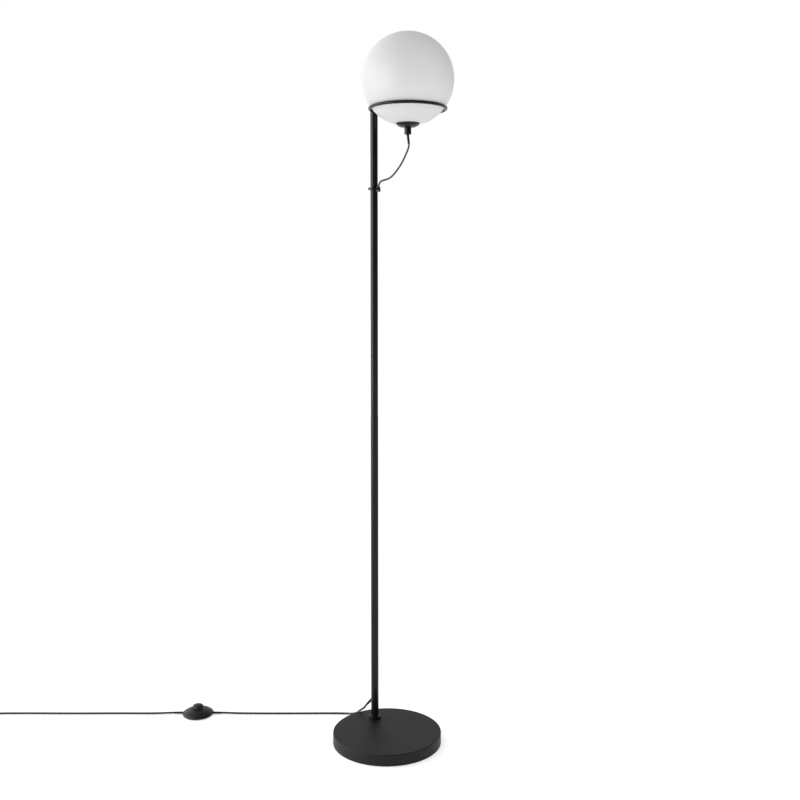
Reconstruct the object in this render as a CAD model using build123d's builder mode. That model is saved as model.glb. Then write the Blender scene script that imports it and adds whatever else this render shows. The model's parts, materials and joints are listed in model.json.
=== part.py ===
from build123d import *

import math
import os

# Globe floor lamp: an opal glass globe lies loose in a rod ring on top of a slim pole, over a flat
# round base. A thin cord hangs from the globe to a collar on the pole, and the mains lead leaves
# the pole near its foot, runs over the rim of the base and along the floor through a foot switch.
# Millimetres, +Z up. The origin is the centre of the base's underside, on the floor. The front
# view looks along +Y.

# ---------------------------------------------------------------- driving dimensions
# Clearances
fit_gap = 0.05          # radial gap of pieces that are pushed or screwed together
loose_gap = 0.3         # gap of pieces that slide or lie loose

# Base
base_diameter = 238.0
base_height = 25.0
base_edge_radius = 1.6
cover_wall = 1.5
skirt_gap = 1.0         # floor to the lower edge of the cover
pad_thickness = 3.0
pad_chamfer = 0.6
weight_chamfer = 1.0

# Pole, its bolt and its foot collar
pole_x = -28.5
pole_y = 67.0
lower_tube_diameter = 17.0
upper_tube_diameter = 16.5
pole_bore = 14.0
seam_height = 715.5     # where the two sections of the pole meet
seam_chamfer = 0.3
coupling_reach = 25.0   # how far the coupling goes into each section
coupling_bore = 9.0
foot_collar_diameter = 27.0
foot_collar_height = 5.5
collar_edge_radius = 0.7
bolt_diameter = 10.0
bolt_head_diameter = 16.0
bolt_head_height = 10.0
bolt_hex_width = 8.0    # across flats
bolt_hex_depth = 5.0
bolt_engagement = 18.0  # in the foot bush
washer_diameter = 20.0
washer_thickness = 2.0
bolt_pocket_diameter = 22.0
bolt_pocket_depth = 14.0
foot_bush_height = 20.0

# Glass globe and the ring it lies in
globe_x = 45.5
globe_y = 30.5
globe_centre_height = 1450.0
globe_diameter = 200.0
glass_wall = 3.0
globe_mouth_diameter = 43.0
globe_foot_diameter = 116.0  # inside this the glass is a little flatter, down to the mouth
globe_foot_curve = 70.0      # radius of that flatter part
ring_rod_diameter = 6.5
plug_head_height = 7.0
plug_spigot_length = 14.0
saddle_drop = 0.5       # ring centreline down to the top of the pole
glass_clearance = 1.0   # top of the pole to the glass

# Cap under the globe, cord grip and lampholder
cap_diameter = 52.0
cap_wall = 1.2
cap_flat_radius = 9.0
cap_depth = 9.0         # from where the rim meets the glass down to the cap's underside
cap_rim_wall = 0.7
gasket_width = 2.4
gasket_depth = 1.7      # from there down to the ledge that carries the gasket
grip_diameter = 15.0
grip_height = 14.8
grip_floor = 5.8
nipple_diameter = 10.0
nipple_length = 18.0
nut_width = 14.0        # across flats
nut_height = 3.0
clip_plate_thickness = 0.7
clip_plate_radius = 18.6
clip_strip_thickness = 0.6
clip_strip_width = 8.0
holder_lower_diameter = 26.4
holder_lower_height = 13.0
holder_upper_diameter = 24.0
holder_height = 40.0
holder_floor = 2.5
holder_cavity_diameter = 18.0
holder_cavity_height = 11.5
holder_partition = 2.0
socket_bore = 14.8
bulb_cap_diameter = 13.8
bulb_cap_height = 20.0
bulb_diameter = 45.0
bulb_neck_diameter = 13.2
bulb_neck_height = 9.3
sleeve_top_diameter = 5.6
sleeve_tip_diameter = 5.0
sleeve_length = 19.8    # below the cord grip
sleeve_lean = 2.4       # its tip leans away from the pole
sleeve_insert = 3.0     # inside the cord grip

# Cords
pendant_diameter = 4.0
lead_diameter = 4.6
passage_gap = 0.25      # cord to the hole it goes through

# Collar that holds the hanging cord on the pole
cable_collar_height = 4.5
cable_collar_diameter = 26.6
cable_collar_level = 1219.0
lobe_width = 8.0
lobe_reach = 14.4       # from the pole's axis
lobe_top = 1223.5
lobe_bottom = 1212.5
collar_screw_diameter = 3.0
collar_screw_length = 4.2
collar_hex_width = 1.5
collar_hex_depth = 1.5

# Exit of the lead near the foot
exit_level = 66.0
exit_bearing = 144.0    # degrees from +X, seen from above
exit_slope = 43.0       # degrees from straight down
relief_neck_diameter = 6.4
relief_tip_diameter = 5.2
relief_length = 20.0
relief_inner_length = 4.5
splice_diameter = 9.0
splice_length = 38.0
splice_bottom = 112.0

# Foot switch
switch_x = -446.2
switch_y = 141.0
switch_radius = 35.8    # at the joint between its two shells
switch_foot_radius = 31.5
switch_floor = 1.4
switch_wall = 2.0
switch_split = 4.6      # height of that joint
switch_skirt_radius = 30.0
switch_skirt_height = 9.3
switch_flat_radius = 15.8  # of the flat rim round the button
switch_shoulder = 15.0  # height of that rim
button_radius = 12.4
button_top = 25.4
button_crown = 3.0
button_edge_radius = 4.0
button_flange = 2.2     # how far the button's flange reaches under the rim
button_flange_height = 1.8
button_wall = 1.8
button_travel = 3.0
button_stem_radius = 3.0
block_length = 30.0
block_width = 24.0
block_top = 7.2
terminal_size = 4.6
terminal_spacing = 14.0
switch_cord_level = 4.2
switch_relief_neck = 5.4
switch_relief_tip = 5.0
switch_relief_length = 20.0
switch_relief_inner = 8.0
case_screw_ring = 24.5
case_screw_radius = 1.2
case_screw_head_radius = 2.3
case_screw_head_depth = 0.8
case_screw_length = 7.0
case_post_radius = 3.0

# Coil of the lead
coil_x = -946.0
coil_floor_turns = 3    # turns in the lower layer
coil_inner_radius = 18.4
coil_gap = 0.45         # between neighbouring turns

# Plug, lying flat with its pins along -Y
plug_x = -1013.0
plug_relief_end = 82.0  # y of the relief's thin end
plug_relief_length = 30.0
plug_relief_neck = 8.0
plug_relief_tip = 5.4
plug_length = 36.0
plug_width = 35.3
plug_rear_width = 23.0
plug_thickness = 13.7
plug_rear_thickness = 11.5
pin_diameter = 4.0
pin_core_diameter = 3.0
pin_length = 19.0
pin_sleeve_length = 10.0
pin_spacing = 18.6
pin_embedded = 6.0

# ---------------------------------------------------------------- sizes worked out from those
base_radius = base_diameter / 2
cover_bore_radius = base_radius - cover_wall
weight_top = base_height - cover_wall
lower_tube_radius = lower_tube_diameter / 2
upper_tube_radius = upper_tube_diameter / 2
pole_bore_radius = pole_bore / 2
bolt_radius = bolt_diameter / 2
globe_radius = globe_diameter / 2
glass_inner_radius = globe_radius - glass_wall
mouth_radius = globe_mouth_diameter / 2
rod_radius = ring_rod_diameter / 2
ring_radius = math.hypot(pole_x - globe_x, pole_y - globe_y)  # the ring passes over the pole
ring_level = globe_centre_height - math.sqrt(
    (globe_radius + rod_radius + loose_gap) ** 2 - ring_radius**2
)
cap_radius = cap_diameter / 2
rim_inner = cap_radius - cap_rim_wall
pendant_radius = pendant_diameter / 2
lead_radius = lead_diameter / 2

pole_axis = Axis((pole_x, pole_y, 0), (0, 0, 1))
globe_axis = Axis((globe_x, globe_y, 0), (0, 0, 1))
switch_axis = Axis((switch_x, switch_y, 0), (0, 0, 1))
bearing_to_pole = math.degrees(math.atan2(pole_y - globe_y, pole_x - globe_x))


def upright(axis, bearing=0.0):
    """Upright drawing plane through a vertical axis: its x is the distance from the axis, its y the height."""
    turn = math.radians(bearing)
    return Plane(
        origin=axis.position,
        x_dir=(math.cos(turn), math.sin(turn), 0),
        z_dir=(math.sin(turn), -math.cos(turn), 0),
    )


def between(start, end, bulge):
    """The middle of two points of a profile, moved out to the upper right by a bulge."""
    run = Vector(*end) - Vector(*start)
    outward = Vector(run.Y, -run.X).normalized() * bulge
    middle = (Vector(*start) + Vector(*end)) / 2 + outward
    return (middle.X, middle.Y)


foot_angle = math.asin(globe_foot_diameter / globe_diameter)
foot_shift = globe_radius - globe_foot_curve  # from the globe's centre to the foot's


def glass_height(radius, distance):
    """Height, at a distance from the globe's axis, of the foot of the glass skin of this radius."""
    reach = distance - foot_shift * math.sin(foot_angle)
    foot_centre_height = globe_centre_height - foot_shift * math.cos(foot_angle)
    return foot_centre_height - math.sqrt((radius - foot_shift) ** 2 - reach**2)


def foot_edge(radius):
    """Where the foot begins on the glass skin of this radius: its distance from the axis, its height."""
    return (
        radius * math.sin(foot_angle),
        globe_centre_height - radius * math.cos(foot_angle),
    )


rim_level = glass_height(globe_radius, rim_inner)
cap_bottom = rim_level - cap_depth
gasket_seat = rim_level - gasket_depth
grip_bottom = cap_bottom - grip_height


def cord_radii(points):
    """Radius of each bend of a cord: as large as its two runs allow."""
    radii = []
    for before, corner, after in zip(points, points[1:], points[2:]):
        run_in = Vector(corner) - Vector(before)
        run_out = Vector(after) - Vector(corner)
        half_turn = math.radians(run_in.get_angle(run_out)) / 2
        radii.append(0.45 * min(run_in.length, run_out.length) / math.tan(half_turn))
    return radii


def report_cord(name, piece, length, radius, radii):
    """Prints a cord's length, its tightest bend, and its volume against section times length."""
    share = piece.volume / (math.pi * radius**2 * length)
    print(f"{name}: length {length:.1f}, tightest radius {min(radii):.1f}, volume share {share:.4f}")
    print("   radii", [round(r, 1) for r in radii])


# ---------------------------------------------------------------- base
with BuildPart() as base_pad:
    Cylinder(
        cover_bore_radius - loose_gap,
        pad_thickness,
        align=(Align.CENTER, Align.CENTER, Align.MIN),
    )
    chamfer(base_pad.edges().group_by(Axis.Z)[0], pad_chamfer)
base_pad.part.label = "base_pad"

with BuildPart() as base_weight:
    with BuildSketch(Plane.XY.offset(pad_thickness)):
        Circle(cover_bore_radius - loose_gap)
    extrude(amount=weight_top - pad_thickness)
    chamfer(base_weight.edges().group_by(Axis.Z)[-1], weight_chamfer)
    with Locations(Plane((pole_x, pole_y, pad_thickness), z_dir=(0, 0, -1))):
        CounterBoreHole(
            radius=bolt_radius + loose_gap,
            counter_bore_radius=bolt_pocket_diameter / 2,
            counter_bore_depth=bolt_pocket_depth,
        )
base_weight.part.label = "base_weight"

with BuildPart() as base_cover:
    with BuildSketch(Plane.XY.offset(skirt_gap)):
        Circle(base_radius)
    extrude(amount=base_height - skirt_gap)
    fillet(base_cover.edges().group_by(Axis.Z)[-1], base_edge_radius)
    with BuildSketch(Plane.XY.offset(skirt_gap)):
        Circle(cover_bore_radius)
    extrude(amount=weight_top - skirt_gap, mode=Mode.SUBTRACT)
    with Locations((pole_x, pole_y, base_height)):
        Hole(bolt_radius + loose_gap)
base_cover.part.label = "base_cover"

washer_top = pad_thickness + bolt_pocket_depth
head_top = washer_top - washer_thickness
with BuildPart() as pole_washer:
    with BuildSketch(Plane((pole_x, pole_y, head_top))):
        Circle(washer_diameter / 2)
        Circle(bolt_radius + loose_gap, mode=Mode.SUBTRACT)
    extrude(amount=washer_thickness)
pole_washer.part.label = "pole_washer"

with BuildPart() as pole_bolt:
    with BuildSketch(Plane((pole_x, pole_y, head_top - bolt_head_height))):
        Circle(bolt_head_diameter / 2)
    extrude(amount=bolt_head_height)
    chamfer(pole_bolt.edges().group_by(Axis.Z)[0], weight_chamfer)
    with BuildSketch(Plane((pole_x, pole_y, head_top))):
        Circle(bolt_radius)
    extrude(amount=base_height - head_top + bolt_engagement)
    with BuildSketch(Plane((pole_x, pole_y, head_top - bolt_head_height))):
        RegularPolygon(bolt_hex_width / 2, 6, major_radius=False)
    extrude(amount=bolt_hex_depth, mode=Mode.SUBTRACT)
pole_bolt.part.label = "pole_bolt"

with BuildPart() as foot_collar:
    with BuildSketch(Plane((pole_x, pole_y, base_height))):
        Circle(foot_collar_diameter / 2)
        Circle(lower_tube_radius + fit_gap, mode=Mode.SUBTRACT)
    extrude(amount=foot_collar_height)
    fillet(foot_collar.edges().group_by(Axis.Z)[-1].sort_by(SortBy.LENGTH)[-1], collar_edge_radius)
foot_collar.part.label = "foot_collar"

# ---------------------------------------------------------------- pole
with BuildPart() as foot_bush:
    with BuildSketch(Plane((pole_x, pole_y, base_height))):
        Circle(pole_bore_radius - fit_gap)
        Circle(bolt_radius + fit_gap, mode=Mode.SUBTRACT)
    extrude(amount=foot_bush_height)
foot_bush.part.label = "foot_bush"

exit_turn = math.radians(exit_bearing)
exit_tilt = math.radians(exit_slope)
exit_direction = Vector(
    math.sin(exit_tilt) * math.cos(exit_turn),
    math.sin(exit_tilt) * math.sin(exit_turn),
    -math.cos(exit_tilt),
)
exit_point = Vector(
    pole_x + lower_tube_radius * math.cos(exit_turn),
    pole_y + lower_tube_radius * math.sin(exit_turn),
    exit_level,
)
relief_inner_face = exit_point - exit_direction * relief_inner_length

with BuildPart() as lower_tube:
    with BuildSketch(Plane((pole_x, pole_y, base_height))):
        Circle(lower_tube_radius)
        Circle(pole_bore_radius, mode=Mode.SUBTRACT)
    extrude(amount=seam_height - base_height)
    chamfer(lower_tube.edges().group_by(Axis.Z)[-1].sort_by(SortBy.LENGTH)[-1], seam_chamfer)
    with BuildSketch(Plane(relief_inner_face, z_dir=exit_direction)):
        Circle(relief_neck_diameter / 2 + fit_gap)
    extrude(amount=relief_inner_length + relief_neck_diameter, mode=Mode.SUBTRACT)
lower_tube.part.label = "lower_tube"

with BuildPart() as pole_coupling:
    with BuildSketch(Plane((pole_x, pole_y, seam_height - coupling_reach))):
        Circle(pole_bore_radius - fit_gap)
        Circle(coupling_bore / 2, mode=Mode.SUBTRACT)
    extrude(amount=2 * coupling_reach)
    chamfer(pole_coupling.edges().filter_by(GeomType.CIRCLE).sort_by(SortBy.LENGTH)[-2:], 2 * seam_chamfer)
pole_coupling.part.label = "pole_coupling"

# The hanging cord and its way into the pole lie in the upright plane through both axes. Distances
# there count from the globe's axis towards the pole.
cord_plane = upright(globe_axis, bearing_to_pole)
pole_side = ring_radius - upper_tube_radius
collar_entry = (pole_side - pendant_radius - 0.45, lobe_top)


def in_cord_plane(points):
    """Points given as distance from the globe's axis and height, as points in space."""
    return [cord_plane.from_local_coords((distance, height)) for distance, height in points]


sleeve_tip_level = grip_bottom - sleeve_length
pendant_route = in_cord_plane(
    [
        (-sleeve_lean, sleeve_tip_level),
        (-sleeve_lean * 4 / 3, sleeve_tip_level - sleeve_length / 3),
        (4.5, 1290.3),
        (13.5, 1273.3),
        (23.3, 1259.9),
        (37.3, 1244.7),
        (49.4, 1238.4),
        (62.7, 1236.5),
        (collar_entry[0] - 2.7, lobe_top + 9.0),
        collar_entry,
    ]
)
entry_route = in_cord_plane(
    [
        collar_entry,
        (collar_entry[0] + 1.35, lobe_top - 4.5),
        (ring_radius - 4.2, lobe_top - 10.9),
        (ring_radius - 1.6, lobe_top - 20.5),
    ]
)
pole_cord_route = entry_route + in_cord_plane(
    [(ring_radius, lobe_top - 36.0), (ring_radius, splice_bottom + splice_length)]
)

with BuildPart() as cord_passage:
    with BuildLine() as passage_line:
        passage_mouth = entry_route[0] + (entry_route[0] - entry_route[1]) * 2
        FilletPolyline(passage_mouth, *entry_route[1:], radius=cord_radii(entry_route))
    with BuildSketch(Plane(passage_line.line @ 0, z_dir=passage_line.line % 0)):
        Circle(pendant_radius + passage_gap)
    sweep(path=passage_line.line)

plug_head_bottom = ring_level - saddle_drop - plug_head_height
with BuildPart() as upper_tube:
    with BuildSketch(Plane((pole_x, pole_y, seam_height))):
        Circle(upper_tube_radius)
        Circle(pole_bore_radius, mode=Mode.SUBTRACT)
    extrude(amount=plug_head_bottom - seam_height)
    chamfer(upper_tube.edges().group_by(Axis.Z)[0].sort_by(SortBy.LENGTH)[-1], seam_chamfer)
    add(cord_passage.part, mode=Mode.SUBTRACT)
upper_tube.part.label = "upper_tube"

with BuildPart() as globe_ring:
    with BuildSketch(upright(globe_axis)):
        with Locations((ring_radius, ring_level)):
            Circle(rod_radius)
    revolve(axis=globe_axis)
globe_ring.part.label = "globe_ring"

with BuildPart() as pole_top_plug:
    with BuildSketch(Plane((pole_x, pole_y, plug_head_bottom))):
        Circle(upper_tube_radius)
    extrude(amount=plug_head_height)
    with BuildSketch(Plane((pole_x, pole_y, plug_head_bottom - plug_spigot_length))):
        Circle(pole_bore_radius - fit_gap)
    extrude(amount=plug_spigot_length)
    with BuildSketch(upright(globe_axis)):
        with Locations((ring_radius, ring_level)):
            Circle(rod_radius + fit_gap)
    revolve(axis=globe_axis, mode=Mode.SUBTRACT)
    with Locations((globe_x, globe_y, globe_centre_height)):
        Sphere(globe_radius + glass_clearance, mode=Mode.SUBTRACT)
pole_top_plug.part.label = "pole_top_plug"

# ---------------------------------------------------------------- cable collar
collar_radius = cable_collar_diameter / 2
collar_bore_radius = upper_tube_radius + fit_gap
toward_globe = Plane(
    (pole_x, pole_y, lobe_bottom), x_dir=-cord_plane.x_dir, z_dir=(0, 0, 1)
)
away_from_globe = upright(pole_axis, bearing_to_pole)
with BuildPart() as cable_collar:
    with BuildSketch(Plane((pole_x, pole_y, cable_collar_level - cable_collar_height / 2))):
        Circle(collar_radius)
    extrude(amount=cable_collar_height)
    with BuildSketch(toward_globe):
        with Locations((lobe_reach / 2, 0)):
            RectangleRounded(lobe_reach, lobe_width, 1.5)
    extrude(amount=lobe_top - lobe_bottom)
    with BuildSketch(Plane((pole_x, pole_y, lobe_bottom))):
        Circle(collar_bore_radius)
    extrude(amount=lobe_top - lobe_bottom, mode=Mode.SUBTRACT)
    add(cord_passage.part, mode=Mode.SUBTRACT)
    with BuildSketch(
        Plane(away_from_globe.from_local_coords((0, cable_collar_level)), z_dir=cord_plane.x_dir)
    ):
        Circle(collar_screw_diameter / 2 + fit_gap)
    extrude(amount=2 * collar_radius, mode=Mode.SUBTRACT)
cable_collar.part.label = "cable_collar"

with BuildPart() as collar_screw:
    screw_start = away_from_globe.from_local_coords((collar_bore_radius, cable_collar_level))
    screw_end = screw_start + cord_plane.x_dir * collar_screw_length
    with BuildSketch(Plane(screw_start, z_dir=cord_plane.x_dir)):
        Circle(collar_screw_diameter / 2)
    extrude(amount=collar_screw_length)
    with BuildSketch(Plane(screw_end, z_dir=-cord_plane.x_dir)):
        RegularPolygon(collar_hex_width / 2, 6, major_radius=False)
    extrude(amount=collar_hex_depth, mode=Mode.SUBTRACT)
collar_screw.part.label = "collar_screw"

# ---------------------------------------------------------------- glass globe
with BuildPart() as globe_shade:
    with BuildSketch(upright(globe_axis)):
        with BuildLine():
            skins = []
            for radius in (globe_radius, glass_inner_radius):
                edge = foot_edge(radius)
                mouth = (mouth_radius, glass_height(radius, mouth_radius))
                halfway = (edge[0] + mouth_radius) / 2
                crown = (0, globe_centre_height + radius)
                ThreePointArc(mouth, (halfway, glass_height(radius, halfway)), edge)
                ThreePointArc(edge, (radius, globe_centre_height), crown)
                skins.append((mouth, crown))
            (mouth_outer, crown_outer), (mouth_inner, crown_inner) = skins
            Line(mouth_inner, mouth_outer)
            Line(crown_outer, crown_inner)
        make_face()
    revolve(axis=globe_axis)
globe_shade.part.label = "globe_shade"

# ---------------------------------------------------------------- cap, grip and sleeve
gasket_outer = rim_inner - 2 * fit_gap
gasket_inner = gasket_outer - gasket_width
rim_top = rim_level - 2 * fit_gap
bowl_width = cap_radius - cap_flat_radius
bowl_depth = gasket_seat + 0.3 - cap_bottom
bowl_radius = (bowl_width**2 + bowl_depth**2) / (2 * bowl_depth)


def bowl_point(radius, distance):
    """A point of the cap's bowl, at a distance from the globe's axis, on its skin of this radius."""
    rise = math.sqrt(radius**2 - (distance - cap_flat_radius) ** 2)
    return (distance, cap_bottom + bowl_radius - rise)


with BuildPart() as shade_cap:
    with BuildSketch(upright(globe_axis)):
        with BuildLine():
            hole = nipple_diameter / 2 + fit_gap
            floor_inner = cap_bottom + cap_wall
            inner_radius = bowl_radius - cap_wall
            ledge_inner = gasket_inner - 0.8
            Polyline(
                (cap_flat_radius, floor_inner),
                (hole, floor_inner),
                (hole, cap_bottom),
                (cap_flat_radius, cap_bottom),
            )
            ThreePointArc(
                (cap_flat_radius, cap_bottom),
                bowl_point(bowl_radius, (cap_flat_radius + cap_radius) / 2),
                (cap_radius, gasket_seat + 0.3),
            )
            Polyline(
                (cap_radius, gasket_seat + 0.3),
                (cap_radius, rim_top),
                (rim_inner, rim_top),
                (rim_inner, gasket_seat),
                (ledge_inner, gasket_seat),
                bowl_point(inner_radius, ledge_inner),
            )
            ThreePointArc(
                bowl_point(inner_radius, ledge_inner),
                bowl_point(inner_radius, (cap_flat_radius + ledge_inner) / 2),
                (cap_flat_radius, floor_inner),
            )
        make_face()
    revolve(axis=globe_axis)
shade_cap.part.label = "shade_cap"

with BuildPart() as cap_gasket:
    with BuildSketch(upright(globe_axis)):
        with BuildLine():
            Polyline(
                (gasket_inner, gasket_seat),
                (gasket_outer, gasket_seat),
                (gasket_outer, glass_height(globe_radius, gasket_outer) - fit_gap),
                (gasket_inner, glass_height(globe_radius, gasket_inner) - fit_gap),
                close=True,
            )
        make_face()
    revolve(axis=globe_axis)
cap_gasket.part.label = "cap_gasket"

sleeve_seat = grip_bottom + sleeve_insert
sleeve_direction = pendant_route[1] - pendant_route[0]
with BuildPart() as cord_grip:
    with BuildSketch(Plane((globe_x, globe_y, grip_bottom))):
        Circle(grip_diameter / 2)
    extrude(amount=grip_height)
    fillet(cord_grip.edges().group_by(Axis.Z)[0], collar_edge_radius)
    with BuildSketch(Plane((globe_x, globe_y, grip_bottom))):
        Circle(sleeve_top_diameter / 2 + fit_gap)
    extrude(amount=grip_floor, mode=Mode.SUBTRACT)
    with BuildSketch(Plane((globe_x, globe_y, grip_bottom + grip_floor))):
        Circle(nipple_diameter / 2 + fit_gap)
    extrude(amount=grip_height - grip_floor, mode=Mode.SUBTRACT)
cord_grip.part.label = "cord_grip"

with BuildPart() as cord_sleeve:
    with BuildSketch(Plane((globe_x, globe_y, grip_bottom), z_dir=(0, 0, -1))):
        Circle(sleeve_top_diameter / 2)
    with BuildSketch(Plane(pendant_route[0], z_dir=sleeve_direction)):
        Circle(sleeve_tip_diameter / 2)
    loft()
    with BuildSketch(Plane((globe_x, globe_y, grip_bottom))):
        Circle(sleeve_top_diameter / 2)
    extrude(amount=sleeve_insert)
cord_sleeve.part.label = "cord_sleeve"

nipple_bottom = grip_bottom + grip_floor
nipple_top = nipple_bottom + nipple_length
with BuildPart() as holder_nipple:
    with BuildSketch(Plane((globe_x, globe_y, nipple_bottom))):
        Circle(nipple_diameter / 2)
        Circle(pendant_radius + 2 * passage_gap, mode=Mode.SUBTRACT)
    extrude(amount=nipple_length)
holder_nipple.part.label = "holder_nipple"

nut_bottom = cap_bottom + cap_wall
nut_top = nut_bottom + nut_height
with BuildPart() as nipple_nut:
    with BuildSketch(Plane((globe_x, globe_y, nut_bottom))):
        RegularPolygon(nut_width / 2, 6, major_radius=False)
        Circle(nipple_diameter / 2 + fit_gap, mode=Mode.SUBTRACT)
    extrude(amount=nut_height)
nipple_nut.part.label = "nipple_nut"

# ---------------------------------------------------------------- sprung clip that holds the glass
clip_top = nut_top + clip_plate_thickness
with BuildPart() as shade_clip:
    with BuildSketch(Plane((globe_x, globe_y, nut_top))):
        Circle(clip_plate_radius)
        Circle(nipple_diameter / 2 + fit_gap, mode=Mode.SUBTRACT)
    extrude(amount=clip_plate_thickness)
    mouth_edge = glass_height(glass_inner_radius, mouth_radius)
    strip_foot = nut_top + clip_strip_thickness / 2
    for bearing in (90, 210, 330):
        with BuildSketch(upright(globe_axis, bearing)):
            with BuildLine() as strip_line:
                Polyline(
                    (clip_plate_radius - 3.0, strip_foot),
                    (clip_plate_radius + 0.2, strip_foot),
                    (clip_plate_radius + 0.2, mouth_edge + 0.7),
                    (mouth_radius + 2.3, mouth_edge + 1.2),
                    (clip_plate_radius + 0.4, mouth_edge + 8.0),
                )
            trace(line_width=clip_strip_thickness)
        extrude(amount=clip_strip_width / 2, both=True)
shade_clip.part.label = "shade_clip"

# ---------------------------------------------------------------- lampholder and bulb
holder_top = clip_top + holder_height
cavity_bottom = clip_top + holder_floor
partition_bottom = cavity_bottom + holder_cavity_height
socket_floor = partition_bottom + holder_partition
with BuildPart() as lampholder:
    with BuildSketch(Plane((globe_x, globe_y, clip_top))):
        Circle(holder_lower_diameter / 2)
    extrude(amount=holder_lower_height)
    with BuildSketch(Plane((globe_x, globe_y, clip_top))):
        Circle(holder_upper_diameter / 2)
    extrude(amount=holder_height)
    with BuildSketch(Plane((globe_x, globe_y, clip_top))):
        Circle(nipple_diameter / 2 + fit_gap)
    extrude(amount=holder_floor, mode=Mode.SUBTRACT)
    with BuildSketch(Plane((globe_x, globe_y, cavity_bottom))):
        Circle(holder_cavity_diameter / 2)
    extrude(amount=holder_cavity_height, mode=Mode.SUBTRACT)
    with BuildSketch(Plane((globe_x, globe_y, socket_floor))):
        Circle(socket_bore / 2)
    extrude(amount=holder_top - socket_floor, mode=Mode.SUBTRACT)
lampholder.part.label = "lampholder"

contact_height = 1.6
side_contact_thickness = 0.35
with BuildPart() as socket_contacts:
    with BuildSketch(Plane((globe_x, globe_y, socket_floor))):
        Circle(bulb_cap_diameter / 6)
    extrude(amount=contact_height)
    with BuildSketch(Plane((globe_x, globe_y, socket_floor))):
        with Locations((socket_bore / 2 - side_contact_thickness / 2 - 0.15, 0)):
            Rectangle(side_contact_thickness, 4 * side_contact_thickness)
    extrude(amount=bulb_cap_height / 2)
socket_contacts.part.label = "socket_contacts"

bulb_tip = socket_floor + contact_height + loose_gap
bulb_cap_top = bulb_tip + bulb_cap_height
bulb_radius = bulb_diameter / 2
bulb_centre = bulb_cap_top + bulb_neck_height + 18.7
with BuildPart() as bulb_cap:
    with BuildSketch(upright(globe_axis)):
        with BuildLine():
            cap_side = bulb_cap_diameter / 2
            Polyline(
                (0, bulb_cap_top),
                (0, bulb_tip),
                (cap_side / 3, bulb_tip),
                (cap_side / 2, bulb_tip + 1.5),
                (cap_side - 0.7, bulb_tip + 2.8),
                (cap_side, bulb_tip + 4.0),
                (cap_side, bulb_cap_top),
                close=True,
            )
        make_face()
    revolve(axis=globe_axis)
bulb_cap.part.label = "bulb_cap"

with BuildPart() as bulb_glass:
    with BuildSketch(upright(globe_axis)):
        with BuildLine():
            shoulder_height = bulb_cap_top + bulb_neck_height
            shoulder_radius = math.sqrt(bulb_radius**2 - (bulb_centre - shoulder_height) ** 2)
            Polyline(
                (0, bulb_centre + bulb_radius),
                (0, bulb_cap_top),
                (bulb_neck_diameter / 2, bulb_cap_top),
            )
            ThreePointArc(
                (bulb_neck_diameter / 2, bulb_cap_top),
                (bulb_neck_diameter / 2 + 1.6, bulb_cap_top + 0.55 * bulb_neck_height),
                (shoulder_radius, shoulder_height),
            )
            ThreePointArc(
                (shoulder_radius, shoulder_height),
                (bulb_radius, bulb_centre),
                (0, bulb_centre + bulb_radius),
            )
        make_face()
    revolve(axis=globe_axis)
bulb_glass.part.label = "bulb_glass"

with BuildPart() as holder_cord:
    with BuildSketch(Plane((globe_x, globe_y, sleeve_seat))):
        Circle(pendant_radius)
    extrude(amount=cavity_bottom + 0.5 * holder_cavity_height - sleeve_seat)
holder_cord.part.label = "holder_cord"

# ---------------------------------------------------------------- hanging cord and cord in the pole
with BuildPart() as pendant_cord:
    with BuildLine() as pendant_line:
        FilletPolyline(*pendant_route, radius=cord_radii(pendant_route))
    with BuildSketch(Plane(pendant_line.line @ 0, z_dir=pendant_line.line % 0)):
        Circle(pendant_radius)
    sweep(path=pendant_line.line)
pendant_cord.part.label = "pendant_cord"

with BuildPart() as pole_cord:
    with BuildLine() as pole_cord_line:
        FilletPolyline(*pole_cord_route, radius=cord_radii(pole_cord_route))
    with BuildSketch(Plane(pole_cord_line.line @ 0, z_dir=pole_cord_line.line % 0)):
        Circle(pendant_radius)
    sweep(path=pole_cord_line.line)
pole_cord.part.label = "pole_cord"

with BuildPart() as cord_splice:
    with BuildSketch(Plane((pole_x, pole_y, splice_bottom))):
        Circle(splice_diameter / 2)
    extrude(amount=splice_length)
    fillet(cord_splice.edges(), collar_edge_radius)
cord_splice.part.label = "cord_splice"

# ---------------------------------------------------------------- lead out of the pole
bend_level = exit_level + lower_tube_radius / math.tan(exit_tilt)
pole_lead_route = [
    Vector(pole_x, pole_y, splice_bottom),
    Vector(pole_x, pole_y, bend_level),
    relief_inner_face,
]
with BuildPart() as pole_lead:
    with BuildLine() as pole_lead_line:
        FilletPolyline(*pole_lead_route, radius=cord_radii(pole_lead_route))
    with BuildSketch(Plane(pole_lead_line.line @ 0, z_dir=pole_lead_line.line % 0)):
        Circle(lead_radius)
    sweep(path=pole_lead_line.line)
pole_lead.part.label = "pole_lead"

relief_tip = exit_point + exit_direction * relief_length
with BuildPart() as lead_relief:
    with BuildSketch(Plane(relief_inner_face, z_dir=exit_direction)):
        Circle(relief_neck_diameter / 2)
    extrude(amount=relief_inner_length)
    with BuildSketch(Plane(exit_point, z_dir=exit_direction)):
        Circle(relief_neck_diameter / 2)
    with BuildSketch(Plane(relief_tip, z_dir=exit_direction)):
        Circle(relief_tip_diameter / 2)
    loft()
lead_relief.part.label = "lead_relief"

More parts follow.
